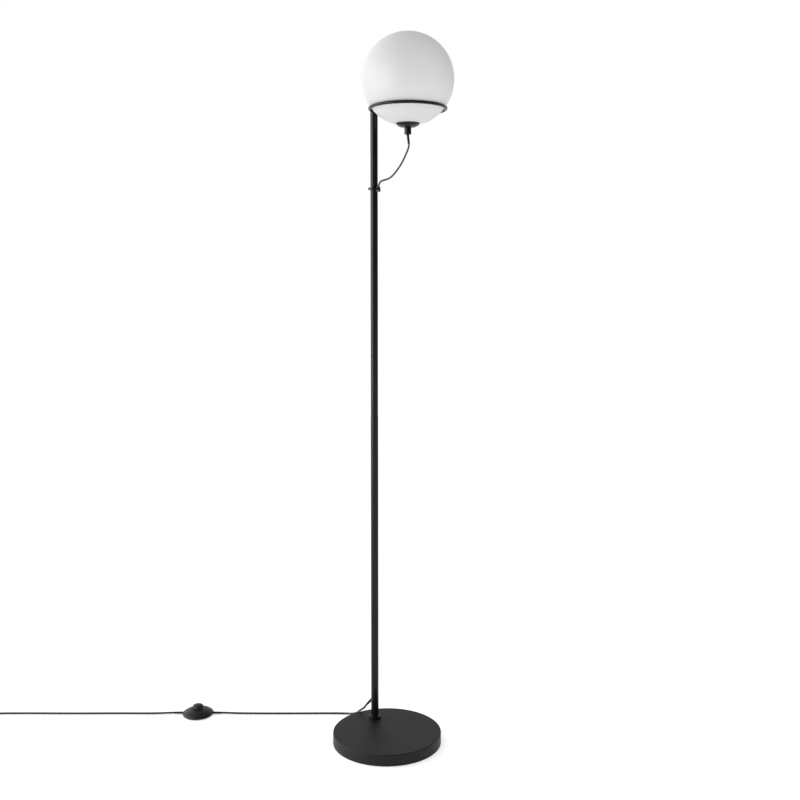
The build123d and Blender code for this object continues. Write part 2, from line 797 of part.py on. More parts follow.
switch_relief_reach = switch_radius + switch_relief_length
floor_lead = lead_radius  # height of the lead's centre where it lies on the floor
lead_to_switch_route = [
    relief_tip,
    relief_tip + exit_direction * 10.0,
    Vector(-57.0, 88.5, 38.7),
    Vector(-62.0, 94.5, 34.6),
    Vector(-67.0, 102.0, 32.2),
    Vector(-73.0, 111.0, 24.0),
    Vector(-80.0, 120.5, 13.0),
    Vector(-89.0, 129.5, 5.4),
    Vector(-101.0, 136.5, 2.6),
    Vector(-118.0, 141.0, floor_lead),
    Vector(-145.0, 142.2, floor_lead),
    Vector(-175.0, 142.0, floor_lead),
    Vector(-262.0, 141.3, floor_lead),
    Vector(-350.0, 142.2, floor_lead),
    Vector(switch_x + switch_relief_reach + 12.0, switch_y, switch_cord_level),
    Vector(switch_x + switch_relief_reach, switch_y, switch_cord_level),
]
with BuildPart() as lead_to_switch:
    with BuildLine() as switch_lead_line:
        FilletPolyline(*lead_to_switch_route, radius=cord_radii(lead_to_switch_route))
    with BuildSketch(Plane(switch_lead_line.line @ 0, z_dir=switch_lead_line.line % 0)):
        Circle(lead_radius)
    sweep(path=switch_lead_line.line)
lead_to_switch.part.label = "lead_to_switch"

# ---------------------------------------------------------------- foot switch
# The leads go in at the joint, so both shells have half of the hole.
with BuildPart() as switch_cord_hole:
    with BuildSketch(Plane((switch_x - switch_radius, switch_y, switch_cord_level), z_dir=(1, 0, 0))):
        Circle(switch_relief_neck / 2 + fit_gap)
    extrude(amount=2 * switch_radius)

with BuildPart() as switch_base:
    with BuildSketch(upright(switch_axis)):
        with BuildLine():
            side_mid = (0.25 * switch_foot_radius + 0.75 * switch_radius, 0.4 * switch_split)
            Polyline(
                (switch_radius - switch_wall, switch_split),
                (switch_foot_radius - switch_wall / 2, switch_floor),
                (0, switch_floor),
                (0, 0),
                (switch_foot_radius, 0),
            )
            ThreePointArc((switch_foot_radius, 0), side_mid, (switch_radius, switch_split))
            Line((switch_radius, switch_split), (switch_radius - switch_wall, switch_split))
        make_face()
    revolve(axis=switch_axis)
    add(switch_cord_hole.part, mode=Mode.SUBTRACT)
    with BuildSketch(Plane((switch_x, switch_y, 0))):
        with PolarLocations(case_screw_ring, 3, start_angle=90):
            Circle(case_screw_head_radius + fit_gap)
    extrude(amount=case_screw_head_depth, mode=Mode.SUBTRACT)
    with BuildSketch(Plane((switch_x, switch_y, 0))):
        with PolarLocations(case_screw_ring, 3, start_angle=90):
            Circle(case_screw_radius + fit_gap)
    extrude(amount=switch_floor, mode=Mode.SUBTRACT)
switch_base.part.label = "switch_base"

rim_radius = button_radius + loose_gap
cover_underside = switch_shoulder - switch_wall
with BuildPart() as switch_cover:
    with BuildSketch(upright(switch_axis)):
        with BuildLine():
            skirt_edge = (switch_skirt_radius, switch_skirt_height)
            flat_edge = (switch_flat_radius, switch_shoulder)
            ThreePointArc(
                (switch_radius, switch_split), between((switch_radius, switch_split), skirt_edge, 0.7), skirt_edge
            )
            ThreePointArc(skirt_edge, between(skirt_edge, flat_edge, 0.8), flat_edge)
            Polyline(
                flat_edge,
                (rim_radius, switch_shoulder),
                (rim_radius, cover_underside),
                (switch_flat_radius, cover_underside),
                (switch_skirt_radius - 0.7 * switch_wall, switch_skirt_height - 0.9 * switch_wall),
                (switch_radius - switch_wall, switch_split),
                (switch_radius, switch_split),
            )
        make_face()
    revolve(axis=switch_axis)
    add(switch_cord_hole.part, mode=Mode.SUBTRACT)
    with BuildSketch(Plane((switch_x, switch_y, switch_floor + fit_gap))):
        with PolarLocations(case_screw_ring, 3, start_angle=90):
            Circle(case_post_radius)
    extrude(until=Until.NEXT)
    with BuildSketch(Plane((switch_x, switch_y, switch_floor + fit_gap))):
        with PolarLocations(case_screw_ring, 3, start_angle=90):
            Circle(case_screw_radius + fit_gap)
    extrude(amount=case_screw_length, mode=Mode.SUBTRACT)
switch_cover.part.label = "switch_cover"

with BuildPart() as case_screws:
    with BuildSketch(Plane((switch_x, switch_y, 0.2))):
        with PolarLocations(case_screw_ring, 3, start_angle=90):
            Circle(case_screw_head_radius)
    extrude(amount=case_screw_head_depth - 0.2)
    with BuildSketch(Plane((switch_x, switch_y, 0.2))):
        with PolarLocations(case_screw_ring, 3, start_angle=90):
            Circle(case_screw_radius)
    extrude(amount=case_screw_length)
case_screws.part.label = "case_screws"

flange_top = cover_underside - loose_gap
flange_bottom = flange_top - button_flange_height
with BuildPart() as switch_button:
    with BuildSketch(upright(switch_axis)) as button_profile:
        with BuildLine():
            flange_radius = button_radius + button_flange
            ceiling = button_top - button_wall
            crown_edge = (button_radius, button_top - button_crown)
            TangentArc((0, button_top), crown_edge, tangent=(1, 0))
            Polyline(
                (0, button_top),
                (0, flange_bottom + 1.0),
                (button_stem_radius, flange_bottom + 1.0),
                (button_stem_radius, ceiling - 1.2),
                (button_radius - button_wall - 3.0, ceiling - 2.0),
                (button_radius - button_wall, ceiling - 5.0),
                (button_radius - button_wall, flange_bottom),
                (flange_radius, flange_bottom),
                (flange_radius, flange_top),
                (button_radius, flange_top),
                crown_edge,
            )
        make_face()
        fillet(button_profile.vertices().sort_by_distance(crown_edge)[0], button_edge_radius)
    revolve(axis=switch_axis)
switch_button.part.label = "switch_button"

with BuildPart() as contact_block:
    with BuildSketch(Plane((switch_x, switch_y, switch_floor))):
        Rectangle(block_length, block_width)
    extrude(amount=block_top - switch_floor)
    chamfer(contact_block.edges().group_by(Axis.Z)[-1], collar_edge_radius)
    with BuildSketch(Plane((switch_x, switch_y, block_top))):
        with GridLocations(block_length - 1.6 * terminal_size, terminal_spacing, 2, 2):
            Rectangle(terminal_size + 2 * fit_gap, terminal_size + 2 * fit_gap)
    extrude(amount=-terminal_size, mode=Mode.SUBTRACT)
contact_block.part.label = "contact_block"

with BuildPart() as terminal_screws:
    with BuildSketch(Plane((switch_x, switch_y, block_top - terminal_size))):
        with GridLocations(block_length - 1.6 * terminal_size, terminal_spacing, 2, 2):
            Rectangle(terminal_size, terminal_size)
    extrude(amount=terminal_size - 0.8)
    with BuildSketch(Plane((switch_x, switch_y, block_top - 0.8))):
        with GridLocations(block_length - 1.6 * terminal_size, terminal_spacing, 2, 2):
            Circle(0.35 * terminal_size)
    extrude(amount=0.8)
terminal_screws.part.label = "terminal_screws"

dome_height = flange_bottom + 1.0 - loose_gap - block_top
with BuildPart() as return_dome:
    with BuildSketch(upright(switch_axis)):
        with BuildLine():
            Polyline(
                (0, block_top + dome_height),
                (0, block_top + dome_height - 1.2),
                (2.2, block_top + dome_height - 1.2),
                (5.2, block_top),
                (6.6, block_top),
                (3.4, block_top + dome_height),
                close=True,
            )
        make_face()
    revolve(axis=switch_axis)
return_dome.part.label = "return_dome"

with BuildPart() as switch_reliefs:
    for side in (-1, 1):
        outward = (side, 0, 0)
        inner_x = switch_x + side * (switch_radius - switch_relief_inner)
        with BuildSketch(Plane((inner_x, switch_y, switch_cord_level), z_dir=outward)):
            Circle(switch_relief_neck / 2)
        extrude(amount=switch_relief_inner)
        for reach, diameter in ((0, switch_relief_neck), (switch_relief_length, switch_relief_tip)):
            ring_x = switch_x + side * (switch_radius + reach)
            with BuildSketch(Plane((ring_x, switch_y, switch_cord_level), z_dir=outward)):
                Circle(diameter / 2)
        loft()
switch_reliefs.part.label = "switch_reliefs"

# ---------------------------------------------------------------- lead from the switch to the coil
coil_start_y = 142.0
lead_to_coil_route = [
    Vector(switch_x - switch_relief_reach, switch_y, switch_cord_level),
    Vector(switch_x - switch_relief_reach - 12.0, switch_y, switch_cord_level),
    Vector(-546.0, 141.6, floor_lead),
    Vector(-642.0, 142.6, floor_lead),
    Vector(-742.0, 141.3, floor_lead),
    Vector(-842.0, 142.7, floor_lead),
    Vector(coil_x + 36.0, coil_start_y, floor_lead),
    Vector(coil_x + lead_diameter, coil_start_y, floor_lead),
]
with BuildPart() as lead_to_coil:
    with BuildLine() as coil_lead_line:
        FilletPolyline(*lead_to_coil_route, radius=cord_radii(lead_to_coil_route))
    with BuildSketch(Plane(coil_lead_line.line @ 0, z_dir=coil_lead_line.line % 0)):
        Circle(lead_radius)
    sweep(path=coil_lead_line.line)
lead_to_coil.part.label = "lead_to_coil"

# ---------------------------------------------------------------- coil
# Half circles about two centres half a pitch apart: in along the floor, up one layer in the
# innermost half turn, and out again on top.
coil_pitch = lead_diameter + coil_gap
inward = 2 * coil_floor_turns
half_turn_radii = [coil_inner_radius + coil_pitch / 2 * step for step in range(inward, -1, -1)]
half_turn_radii += [coil_inner_radius + coil_pitch / 2 * step for step in range(1, inward)]
coil_corners = [Vector(coil_x, coil_start_y, floor_lead)]
coil_middles = []
for count, radius in enumerate(half_turn_radii):
    side = -1 if count % 2 == 0 else 1
    climb = coil_pitch if count == inward else 0.0
    here = coil_corners[-1]
    coil_middles.append(here + Vector(side * math.hypot(radius, climb / 2), side * radius, climb / 2))
    coil_corners.append(here + Vector(0, side * 2 * radius, climb))
coil_end = coil_corners[-1]

with BuildPart() as lead_coil:
    with BuildLine() as coil_line:
        Line(coil_corners[0] + Vector(lead_diameter, 0, 0), coil_corners[0])
        for start, middle, end in zip(coil_corners, coil_middles, coil_corners[1:]):
            ThreePointArc(start, middle, end)
        Line(coil_end, coil_end - Vector(lead_diameter, 0, 0))
    with BuildSketch(Plane(coil_corners[0] + Vector(lead_diameter, 0, 0), z_dir=(-1, 0, 0))):
        Circle(lead_radius)
    sweep(path=coil_line.line)
lead_coil.part.label = "lead_coil"

# ---------------------------------------------------------------- plug
plug_axis_level = plug_thickness / 2
plug_lead_route = [
    coil_end - Vector(lead_diameter, 0, 0),
    coil_end - Vector(lead_diameter + 11.0, 0, 0),
    Vector(coil_x - 30.5, 140.5, 4.8),
    Vector(coil_x - 45.5, 134.0, 2.6),
    Vector(plug_x + 8.0, 122.0, 2.6),
    Vector(plug_x + 1.5, 107.0, 4.6),
    Vector(plug_x, plug_relief_end + 11.0, plug_axis_level),
    Vector(plug_x, plug_relief_end, plug_axis_level),
]
with BuildPart() as plug_lead:
    with BuildLine() as plug_lead_line:
        FilletPolyline(*plug_lead_route, radius=cord_radii(plug_lead_route))
    with BuildSketch(Plane(plug_lead_line.line @ 0, z_dir=plug_lead_line.line % 0)):
        Circle(lead_radius)
    sweep(path=plug_lead_line.line)
plug_lead.part.label = "plug_lead"


def across_plug(y):
    """Plane square to the plug's axis, looking out along its pins."""
    return Plane((plug_x, y, plug_axis_level), x_dir=(1, 0, 0), z_dir=(0, -1, 0))


plug_rear = plug_relief_end - plug_relief_length
plug_face = plug_rear - plug_length
with BuildPart() as plug_relief:
    with BuildSketch(across_plug(plug_relief_end)):
        Circle(plug_relief_tip / 2)
    with BuildSketch(across_plug(plug_rear)):
        Circle(plug_relief_neck / 2)
    loft()
plug_relief.part.label = "plug_relief"

with BuildPart() as plug_body:
    for share, width, thickness in (
        (0.0, plug_rear_width, plug_rear_thickness),
        (0.45, plug_width - 2.0, plug_thickness),
        (1.0, plug_width, plug_thickness),
    ):
        with BuildSketch(across_plug(plug_rear - share * plug_length)):
            RectangleRounded(width, thickness, 0.45 * thickness)
    loft(ruled=True)
    with BuildSketch(across_plug(plug_face)):
        with GridLocations(pin_spacing, 1, 2, 1):
            Circle(pin_diameter / 2 + fit_gap)
    extrude(amount=-pin_embedded, mode=Mode.SUBTRACT)
plug_body.part.label = "plug_body"

with BuildPart() as plug_pins:
    with BuildSketch(across_plug(plug_face + pin_embedded)):
        with GridLocations(pin_spacing, 1, 2, 1):
            Circle(pin_core_diameter / 2)
    extrude(amount=pin_embedded + pin_sleeve_length)
    with BuildSketch(across_plug(plug_face - pin_sleeve_length)):
        with GridLocations(pin_spacing, 1, 2, 1):
            Circle(pin_diameter / 2)
    extrude(amount=pin_length - pin_sleeve_length)
    fillet(plug_pins.edges().group_by(Axis.Y)[0], 0.45 * pin_diameter)
plug_pins.part.label = "plug_pins"

with BuildPart() as pin_sleeves:
    with BuildSketch(across_plug(plug_face + pin_embedded)):
        with GridLocations(pin_spacing, 1, 2, 1):
            Circle(pin_diameter / 2)
        with GridLocations(pin_spacing, 1, 2, 1):
            Circle(pin_core_diameter / 2, mode=Mode.SUBTRACT)
    extrude(amount=pin_embedded + pin_sleeve_length)
pin_sleeves.part.label = "pin_sleeves"

# ---------------------------------------------------------------- figures and files
for cord, line, radius, route in (
    (pendant_cord, pendant_line, pendant_radius, pendant_route),
    (pole_cord, pole_cord_line, pendant_radius, pole_cord_route),
    (pole_lead, pole_lead_line, lead_radius, pole_lead_route),
    (lead_to_switch, switch_lead_line, lead_radius, lead_to_switch_route),
    (lead_to_coil, coil_lead_line, lead_radius, lead_to_coil_route),
    (plug_lead, plug_lead_line, lead_radius, plug_lead_route),
):
    report_cord(cord.part.label, cord.part, line.wire().length, radius, cord_radii(route))
coil_wire = coil_line.wire()
report_cord("lead_coil", lead_coil.part, coil_wire.length, lead_radius, half_turn_radii)

coil_samples = 24 * len(half_turn_radii)
coil_points = [coil_wire @ (step / coil_samples) for step in range(coil_samples + 1)]
apart = math.ceil(math.pi * lead_diameter / (coil_wire.length / coil_samples))
coil_least = min(
    (far - near).length
    for index, near in enumerate(coil_points)
    for far in coil_points[index + apart :]
)
print(f"lead_coil: least gap to itself {coil_least - lead_diameter:.2f}")

hanging = pendant_line.wire().length
reach = collar_entry[0] + sleeve_lean
drop = sleeve_tip_level - lobe_top
print(f"globe lifts {math.sqrt(hanging**2 - reach**2) - drop:.1f} until the cord is tight")

os.makedirs("parts", exist_ok=True)
for piece in (
    base_pad, base_weight, base_cover, pole_washer, pole_bolt, foot_collar, foot_bush,
    lower_tube, pole_coupling, upper_tube, pole_top_plug, globe_ring, cable_collar, collar_screw,
    globe_shade, shade_cap, cap_gasket, cord_grip, cord_sleeve, holder_nipple, nipple_nut,
    shade_clip, lampholder, socket_contacts, bulb_cap, bulb_glass, holder_cord,
    pendant_cord, pole_cord, cord_splice, pole_lead, lead_relief, lead_to_switch,
    switch_base, switch_cover, case_screws, switch_button, contact_block, terminal_screws,
    return_dome, switch_reliefs, lead_to_coil, lead_coil, plug_lead,
    plug_relief, plug_body, plug_pins, pin_sleeves,
):
    export_step(piece.part, f"parts/{piece.part.label}.step")
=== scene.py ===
import json
import math

import bmesh
import bpy
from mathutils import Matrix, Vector


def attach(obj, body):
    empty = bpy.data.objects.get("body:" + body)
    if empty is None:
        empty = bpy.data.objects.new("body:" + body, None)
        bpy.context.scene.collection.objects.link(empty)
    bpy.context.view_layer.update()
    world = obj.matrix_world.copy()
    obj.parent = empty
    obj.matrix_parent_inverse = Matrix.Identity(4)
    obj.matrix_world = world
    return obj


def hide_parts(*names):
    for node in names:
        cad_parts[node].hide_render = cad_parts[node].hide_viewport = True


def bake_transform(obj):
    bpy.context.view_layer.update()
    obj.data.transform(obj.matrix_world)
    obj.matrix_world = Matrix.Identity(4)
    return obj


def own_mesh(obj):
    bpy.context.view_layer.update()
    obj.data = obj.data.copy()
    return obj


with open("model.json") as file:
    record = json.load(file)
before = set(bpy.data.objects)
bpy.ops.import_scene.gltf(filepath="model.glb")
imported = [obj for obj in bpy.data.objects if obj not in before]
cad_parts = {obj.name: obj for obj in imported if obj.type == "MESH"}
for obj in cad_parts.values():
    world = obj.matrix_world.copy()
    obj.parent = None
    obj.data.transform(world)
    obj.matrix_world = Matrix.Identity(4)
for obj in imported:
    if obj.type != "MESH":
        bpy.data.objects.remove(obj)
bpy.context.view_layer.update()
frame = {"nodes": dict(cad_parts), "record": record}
scene = bpy.context.scene
nodes = frame["nodes"]

# ---------------------------------------------------------------- camera, at the photograph's place
camera_place = (0.0286, -2.16104, 0.99864)
camera_dip = 3.4768  # degrees below level
camera_data = bpy.data.cameras.new("camera")
camera = bpy.data.objects.new("camera", camera_data)
scene.collection.objects.link(camera)
scene.camera = camera
camera_data.sensor_width = 36.0
camera_data.lens = 45.116
camera_data.shift_y = -0.0625
camera_data.clip_start, camera_data.clip_end = 0.05, 60.0
camera.location = camera_place
camera.rotation_euler = (math.radians(90.0 - camera_dip), 0.0, 0.0)


# ---------------------------------------------------------------- shader helpers
def new_material(name):
    """A new node material, its node tree and its Principled shader."""
    material = bpy.data.materials.new(name)
    material.use_nodes = True
    tree = material.node_tree
    return material, tree, tree.nodes["Principled BSDF"]


def math_node(tree, operation, *values):
    """A Math node's output; a value is a number or another node's output."""
    node = tree.nodes.new("ShaderNodeMath")
    node.operation = operation
    for place, value in zip(node.inputs, values):
        if isinstance(value, float):
            place.default_value = value
        else:
            tree.links.new(value, place)
    return node.outputs["Value"]


def value_noise(tree, scale, detail, low, high):
    """Object-space noise, mapped to the range low to high."""
    place = tree.nodes.new("ShaderNodeTexCoord")
    noise = tree.nodes.new("ShaderNodeTexNoise")
    noise.inputs["Scale"].default_value = scale
    noise.inputs["Detail"].default_value = detail
    noise.inputs["Roughness"].default_value = 0.55
    span = tree.nodes.new("ShaderNodeMapRange")
    span.inputs["To Min"].default_value = low
    span.inputs["To Max"].default_value = high
    tree.links.new(place.outputs["Object"], noise.inputs["Vector"])
    tree.links.new(noise.outputs["Fac"], span.inputs["Value"])
    return span.outputs["Result"]


def tinted(tree, colour, factor):
    """The colour times a factor that varies over the surface."""
    mix = tree.nodes.new("ShaderNodeMix")
    mix.data_type = "RGBA"
    mix.blend_type = "MULTIPLY"
    mix.inputs["Factor"].default_value = 1.0
    mix.inputs["A"].default_value = (*colour, 1.0)
    grey = tree.nodes.new("ShaderNodeCombineColor")
    for channel in ("Red", "Green", "Blue"):
        tree.links.new(factor, grey.inputs[channel])
    tree.links.new(grey.outputs["Color"], mix.inputs["B"])
    return mix.outputs["Result"]


def add_bump(tree, shader, height, distance):
    """A bump of this height, in metres, on the shader's normal."""
    bump = tree.nodes.new("ShaderNodeBump")
    bump.inputs["Strength"].default_value = 1.0
    bump.inputs["Distance"].default_value = distance
    tree.links.new(height, bump.inputs["Height"])
    tree.links.new(bump.outputs["Normal"], shader.inputs["Normal"])


def coated(
    name,
    colour,
    roughness,
    specular,
    grain,
    grain_height,
    metallic=0.0,
    mottle=0.10,
    uneven=0.05,
):
    """Coat, plastic, rubber or metal, with a fine grain, a slight mottle and uneven gloss."""
    material, tree, shader = new_material(name)
    mottling = value_noise(tree, scale=14.0, detail=3.0, low=1.0 - mottle, high=1.0 + mottle)
    tree.links.new(tinted(tree, colour, mottling), shader.inputs["Base Color"])
    roughening = value_noise(
        tree, scale=60.0, detail=4.0, low=roughness - uneven, high=roughness + uneven
    )
    tree.links.new(roughening, shader.inputs["Roughness"])
    shader.inputs["Metallic"].default_value = metallic
    shader.inputs["Specular IOR Level"].default_value = specular
    grains = value_noise(tree, scale=grain, detail=2.0, low=0.0, high=1.0)
    add_bump(tree, shader, grains, grain_height)
    return material


def opal(name, colour, roughness, subsurface):
    """White opal glass with a satin surface: light spreads a little under the skin."""
    material, tree, shader = new_material(name)
    cloud = value_noise(tree, scale=9.0, detail=2.0, low=0.985, high=1.015)
    tree.links.new(tinted(tree, colour, cloud), shader.inputs["Base Color"])
    satin = value_noise(
        tree, scale=45.0, detail=3.0, low=roughness - 0.03, high=roughness + 0.03
    )
    tree.links.new(satin, shader.inputs["Roughness"])
    shader.inputs["Specular IOR Level"].default_value = 0.30
    shader.inputs["Subsurface Weight"].default_value = subsurface
    shader.inputs["Subsurface Radius"].default_value = (1.0, 0.95, 0.9)
    shader.inputs["Subsurface Scale"].default_value = 0.006
    ripple = value_noise(tree, scale=400.0, detail=2.0, low=0.0, high=1.0)
    add_bump(tree, shader, ripple, distance=0.00002)
    return material


# ---------------------------------------------------------------- materials
# In order: colour, roughness, specular level, scale of the grain, and its height in metres.
black_coat = coated(
    "black_coat", (0.005, 0.005, 0.0052), 0.27, 0.21, 250.0, 0.00001, uneven=0.02
)
base_coat = coated("base_coat", (0.006, 0.006, 0.0062), 0.54, 0.26, 700.0, 0.00008)
black_rubber = coated("black_rubber", (0.009, 0.009, 0.0095), 0.58, 0.25, 1500.0, 0.00003)
cord_jacket = coated("cord_jacket", (0.030, 0.030, 0.031), 0.45, 0.35, 1200.0, 0.00002)
black_plastic = coated("black_plastic", (0.008, 0.008, 0.0084), 0.42, 0.30, 1600.0, 0.00004)
white_plastic = coated(
    "white_plastic", (0.80, 0.80, 0.78), 0.40, 0.50, 1200.0, 0.00002, mottle=0.03
)
pad_foam = coated("pad_foam", (0.025, 0.025, 0.025), 0.90, 0.15, 700.0, 0.00020)
cast_iron = coated("cast_iron", (0.09, 0.09, 0.09), 0.70, 0.50, 350.0, 0.00030, metallic=0.6)
zinc_steel = coated("zinc_steel", (0.56, 0.56, 0.58), 0.34, 0.50, 900.0, 0.00002, metallic=1.0)
plain_brass = coated("plain_brass", (0.72, 0.56, 0.24), 0.30, 0.50, 900.0, 0.00002, metallic=1.0)
nickel = coated("nickel", (0.75, 0.75, 0.76), 0.20, 0.50, 900.0, 0.00001, metallic=1.0)
opal_glass = opal("opal_glass", (0.82, 0.82, 0.82), 0.42, 0.40)
bulb_glass = opal("bulb_white", (0.82, 0.81, 0.78), 0.30, 0.15)

slot_materials = {
    "black_metal": black_coat,
    "black_rubber": black_rubber,
    "cord_jacket": cord_jacket,
    "black_plastic": black_plastic,
    "white_plastic": white_plastic,
    "foam_pad": pad_foam,
    "cast_weight": cast_iron,
    "steel": zinc_steel,
    "brass": plain_brass,
    "plated_pins": nickel,
    "opal_glass": opal_glass,
    "bulb_glass": bulb_glass,
}
for subpart in frame["record"]["subparts"]:
    node = nodes[subpart["node"]]
    node.data.materials.clear()
    node.data.materials.append(slot_materials[subpart["material_slot"]])
nodes["base_cover"].data.materials[0] = base_coat


# ---------------------------------------------------------------- cords
def cord_curve(name, points, diameter, material):
    """A round cord along a smooth spline with these control points, in metres."""
    data = bpy.data.curves.new(name, "CURVE")
    data.dimensions = "3D"
    data.resolution_u = 16
    data.bevel_depth = diameter / 2
    data.bevel_resolution = 5
    data.use_fill_caps = True
    spline = data.splines.new("NURBS")
    spline.points.add(len(points) - 1)
    for point, place in zip(spline.points, points):
        point.co = (*place, 1.0)
    spline.order_u = 3
    spline.use_endpoint_u = True
    data.materials.append(material)
    piece = bpy.data.objects.new(name, data)
    scene.collection.objects.link(piece)
    return piece


def mesh_of(piece):
    """The mesh that a curve object makes."""
    bpy.context.view_layer.update()
    return bpy.data.meshes.new_from_object(
        piece.evaluated_get(bpy.context.evaluated_depsgraph_get())
    )


def centreline(piece):
    """Points along a cord's spline, read from the curve without its thickness."""
    depth, piece.data.bevel_depth = piece.data.bevel_depth, 0.0
    mesh = mesh_of(piece)
    points = [vertex.co.copy() for vertex in mesh.vertices]
    bpy.data.meshes.remove(mesh)
    piece.data.bevel_depth = depth
    return points


def length_of(points):
    return sum((b - a).length for a, b in zip(points, points[1:]))


pendant_diameter = 0.0040
lead_diameter = 0.0046

# Hanging cord, from the sleeve under the globe to the collar on the pole
pole_axis = Vector((-0.0285, 0.0670, 0.0))
globe_axis = Vector((0.0455, 0.0305, 0.0))
toward_pole = (pole_axis - globe_axis).normalized()
ring_radius = (pole_axis - globe_axis).length
upper_tube_radius = 0.00825
tube_gap = 0.00045  # hanging cord to the pole, where it enters the collar


def in_cord_plane(distance, height):
    """A point of the upright plane through both axes: distance from the globe's, and height."""
    return tuple(globe_axis + toward_pole * distance + Vector((0.0, 0.0, height)))


lobe_top = 1.2235
sleeve_tip = 1.3124
sleeve_length = 0.0198
sleeve_lean = 0.0024
entry = ring_radius - upper_tube_radius - pendant_diameter / 2 - tube_gap
pendant_points = [
    in_cord_plane(-sleeve_lean, sleeve_tip),
    in_cord_plane(-sleeve_lean * 4 / 3, sleeve_tip - sleeve_length / 3),
    in_cord_plane(0.0045, 1.2903),
    in_cord_plane(0.0135, 1.2733),
    in_cord_plane(0.0233, 1.2599),
    in_cord_plane(0.0373, 1.2447),
    in_cord_plane(0.0494, 1.2384),
    in_cord_plane(0.0627, 1.2365),
    in_cord_plane(entry - 0.0027, lobe_top + 0.0090),
    in_cord_plane(entry, lobe_top),
]
pendant = cord_curve("hanging_cord", pendant_points, pendant_diameter, cord_jacket)

# Lead from the relief at the back of the pole, over the rim of the base and along the floor
lower_tube_radius = 0.0085
exit_level = 0.066
relief_length = 0.020
exit_bearing, exit_slope = math.radians(144.0), math.radians(43.0)
exit_direction = Vector(
    (
        math.sin(exit_slope) * math.cos(exit_bearing),
        math.sin(exit_slope) * math.sin(exit_bearing),
        -math.cos(exit_slope),
    )
)
exit_point = pole_axis + Vector(
    (
        lower_tube_radius * math.cos(exit_bearing),
        lower_tube_radius * math.sin(exit_bearing),
        exit_level,
    )
)
relief_tip = exit_point + exit_direction * relief_length
relief_run = 0.008  # straight on out of the relief
switch_centre = Vector((-0.4462, 0.1410, 0.0))
switch_reach = 0.0558  # from the switch's centre to the ends of its reliefs
switch_level = 0.0042
switch_run = 0.012  # straight in and out of those reliefs
floor_lead = lead_diameter / 2
# over the rim of the base the lead lies a little lower than its CAD tube, as photographed
switch_lead_points = [
    tuple(relief_tip),
    tuple(relief_tip + exit_direction * relief_run),
    (-0.0538, 0.0875, 0.0388),
    (-0.0577, 0.0933, 0.0346),
    (-0.0626, 0.0984, 0.0285),
    (-0.0661, 0.1058, 0.0244),
    (-0.0680, 0.1159, 0.0173),
    (-0.0762, 0.1263, 0.0091),
    (-0.0857, 0.1354, 0.0043),
    (-0.0971, 0.1415, floor_lead),
    (-0.1105, 0.1420, floor_lead),
    (-0.1250, 0.1422, floor_lead),
    (-0.1500, 0.1424, floor_lead),
    (-0.1750, 0.1420, floor_lead),
    (-0.2620, 0.1413, floor_lead),
    (-0.3500, 0.1422, floor_lead),
    (switch_centre.x + switch_reach + switch_run, switch_centre.y, switch_level),
    (switch_centre.x + switch_reach, switch_centre.y, switch_level),
]
lead_one = cord_curve("lead_pole_to_switch", switch_lead_points, lead_diameter, cord_jacket)

# Lead from the switch to a coil of two layers just outside the view, and on to its plug
coil_x = -0.946
coil_y = 0.142
coil_pitch = 0.00505
coil_inner = 0.0184
coil_floor_turns = 3
coil_start = coil_x + 0.0360
lead_points = [
    (switch_centre.x - switch_reach, switch_centre.y, switch_level),
    (switch_centre.x - switch_reach - switch_run, switch_centre.y, switch_level),
    (-0.5460, 0.1416, floor_lead),
    (-0.6420, 0.1426, floor_lead),
    (-0.7420, 0.1413, floor_lead),
    (-0.8420, 0.1427, floor_lead),
    (coil_start, coil_y, floor_lead),
]
# the coil's half circles, each drawn as a run of control points just outside its arc: inwards on
# the floor, up a layer in the innermost one, and out again on top
inward = 2 * coil_floor_turns
half_turns = [coil_inner + coil_pitch / 2 * step for step in range(inward, -1, -1)]
half_turns += [coil_inner + coil_pitch / 2 * step for step in range(1, inward)]
corner = Vector((coil_x, coil_y, floor_lead))
points_per_half = 8
for count, radius in enumerate(half_turns):
    side = -1 if count % 2 == 0 else 1
    climb = coil_pitch if count == inward else 0.0
    middle = corner + Vector((0.0, side * radius, 0.0))
    reach = radius / math.cos(math.pi / points_per_half / 2)
    for step in range(points_per_half):
        turn = math.pi * (step + 0.5) / points_per_half
        rise = climb * (1 - math.cos(turn)) / 2
        lead_points.append(
            (
                middle.x + side * reach * math.sin(turn),
                middle.y - side * reach * math.cos(turn),
                middle.z + rise,
            )
        )
    corner = corner + Vector((0.0, side * 2 * radius, climb))
plug_x, plug_relief_end, plug_level = -1.013, 0.082, 0.00685
plug_run = 0.011  # straight into the plug's relief
lead_points += [
    (coil_x - 0.0156, coil_y, corner.z),
    (coil_x - 0.0305, 0.1405, 0.0048),
    (coil_x - 0.0455, 0.1340, 0.0026),
    (plug_x + 0.0080, 0.1220, 0.0026),
    (plug_x + 0.0015, 0.1070, 0.0046),
    (plug_x, plug_relief_end + plug_run, plug_level),
    (plug_x, plug_relief_end, plug_level),
]
lead_two = cord_curve("lead_switch_to_plug", lead_points, lead_diameter, cord_jacket)

pendant_line = centreline(pendant)
lead_one_length = length_of(centreline(lead_one))
lead_two_length = length_of(centreline(lead_two))

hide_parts("lead_to_switch")
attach(lead_one, "stand")
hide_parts("lead_to_coil", "lead_coil", "plug_lead")
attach(lead_two, "stand")

# The hanging cord is turned into a smooth-shaded mesh tube.
tube = bpy.data.objects.new("pendant_tube", mesh_of(pendant))
scene.collection.objects.link(tube)
bpy.data.objects.remove(pendant)
tube.data.materials.clear()
tube.data.materials.append(cord_jacket)
for face in tube.data.polygons:
    face.use_smooth = True
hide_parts("pendant_cord")
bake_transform(tube)
